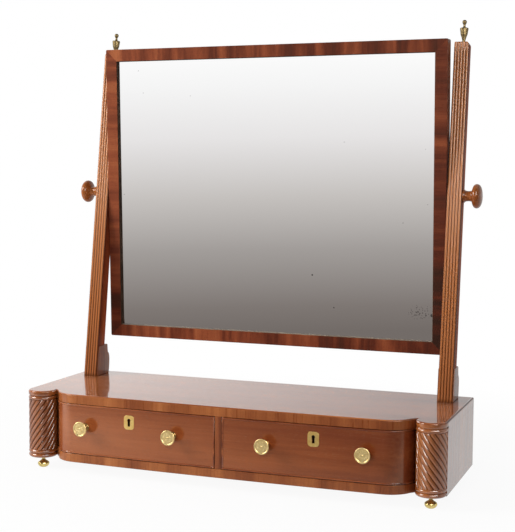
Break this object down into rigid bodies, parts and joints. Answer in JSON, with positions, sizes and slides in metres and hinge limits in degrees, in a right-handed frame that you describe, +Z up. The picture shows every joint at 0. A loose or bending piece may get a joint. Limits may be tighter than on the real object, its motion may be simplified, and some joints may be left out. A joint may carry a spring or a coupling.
{
  "type": "dressing table mirror",
  "caption": "Swing mirror on turned pivots between raked reeded uprights, on a bow-fronted wooden box with drawers, knobs, keyholes, corner columns and turned brass feet.",
  "frame": {"origin": "on the ground under the middle of the object's overall width and depth", "axes": "+X to the right of a viewer who faces the mirror, +Y to the back, +Z up"},
  "size_m": [0.6548, 0.2724, 0.6761],
  "materials": {
    "mahogany": "polished red-brown mahogany veneer",
    "carved_mahogany": "polished solid mahogany, turned and reeded",
    "crossband_mahogany": "polished cross-banded mahogany veneer",
    "drawer_mahogany": "polished mahogany veneer with the grain running along the drawer",
    "drawer_lining": "plain planed oak",
    "pine": "plain planed softwood, darkened by age",
    "brass": "polished brass",
    "antique_brass": "brass darkened by age",
    "lock_iron": "dark wrought iron",
    "mirror_glass": "old silvered plate glass with small specks"
  },
  "bodies": {
    "base": {"base_top": "mahogany", "base_bottom": "mahogany", "left_side_panel": "mahogany", "right_side_panel": "mahogany", "back_panel": "pine", "centre_divider": "mahogany", "left_corner_post": "pine", "right_corner_post": "pine", "left_column": "carved_mahogany", "right_column": "carved_mahogany", "left_front_foot": "brass", "right_front_foot": "brass", "left_rear_foot": "brass", "right_rear_foot": "brass", "drawer_guides": "pine", "left_upright": "carved_mahogany", "right_upright": "carved_mahogany", "left_bracket": "carved_mahogany", "right_bracket": "carved_mahogany", "left_finial": "antique_brass", "right_finial": "antique_brass", "pivot_washers": "brass"},
    "left_drawer": {"left_drawer_front": "drawer_mahogany", "left_drawer_outer_side": "drawer_lining", "left_drawer_inner_side": "drawer_lining", "left_drawer_back": "drawer_lining", "left_drawer_bottom": "drawer_lining", "left_drawer_bead": "drawer_mahogany", "left_drawer_outer_knob": "brass", "left_drawer_inner_knob": "brass", "left_escutcheon": "brass", "left_lock_case": "lock_iron"},
    "right_drawer": {"right_drawer_front": "drawer_mahogany", "right_drawer_outer_side": "drawer_lining", "right_drawer_inner_side": "drawer_lining", "right_drawer_back": "drawer_lining", "right_drawer_bottom": "drawer_lining", "right_drawer_bead": "drawer_mahogany", "right_drawer_outer_knob": "brass", "right_drawer_inner_knob": "brass", "right_escutcheon": "brass", "right_lock_case": "lock_iron"},
    "left_bolt": {"left_lock_bolt": "brass"},
    "right_bolt": {"right_lock_bolt": "brass"},
    "mirror": {"frame_top_rail": "crossband_mahogany", "frame_bottom_rail": "crossband_mahogany", "frame_left_stile": "crossband_mahogany", "frame_right_stile": "crossband_mahogany", "mirror_glass": "mirror_glass", "mirror_backboard": "pine", "glass_blocks": "pine", "backboard_screws": "lock_iron", "left_pivot_plate": "brass", "right_pivot_plate": "brass", "pivot_plate_screws": "brass"},
    "left_pivot": {"left_pivot_knob": "carved_mahogany", "left_pivot_screw": "brass"},
    "right_pivot": {"right_pivot_knob": "carved_mahogany", "right_pivot_screw": "brass"}
  },
  "joints": [
    {"name": "mirror_tilt", "type": "hinge", "parent": "base", "child": "mirror", "pos_m": [0, 0.0895, 0.4162], "axis": [1, 0, 0], "continuous": true},
    {"name": "left_pivot_turn", "type": "hinge", "parent": "base", "child": "left_pivot", "pos_m": [-0.3136, 0.0895, 0.4162], "axis": [-1, 0, 0], "range_deg": [0, 360]},
    {"name": "right_pivot_turn", "type": "hinge", "parent": "base", "child": "right_pivot", "pos_m": [0.3136, 0.0895, 0.4162], "axis": [1, 0, 0], "range_deg": [0, 360]},
    {"name": "left_drawer_slide", "type": "slide", "parent": "base", "child": "left_drawer", "axis": [0, -1, 0], "range_m": [0, 0.15]},
    {"name": "right_drawer_slide", "type": "slide", "parent": "base", "child": "right_drawer", "axis": [0, -1, 0], "range_m": [0, 0.15]},
    {"name": "left_bolt_slide", "type": "slide", "parent": "left_drawer", "child": "left_bolt", "axis": [0, 0, 1], "range_m": [0, 0.005]},
    {"name": "right_bolt_slide", "type": "slide", "parent": "right_drawer", "child": "right_bolt", "axis": [0, 0, 1], "range_m": [0, 0.005]}
  ]
}
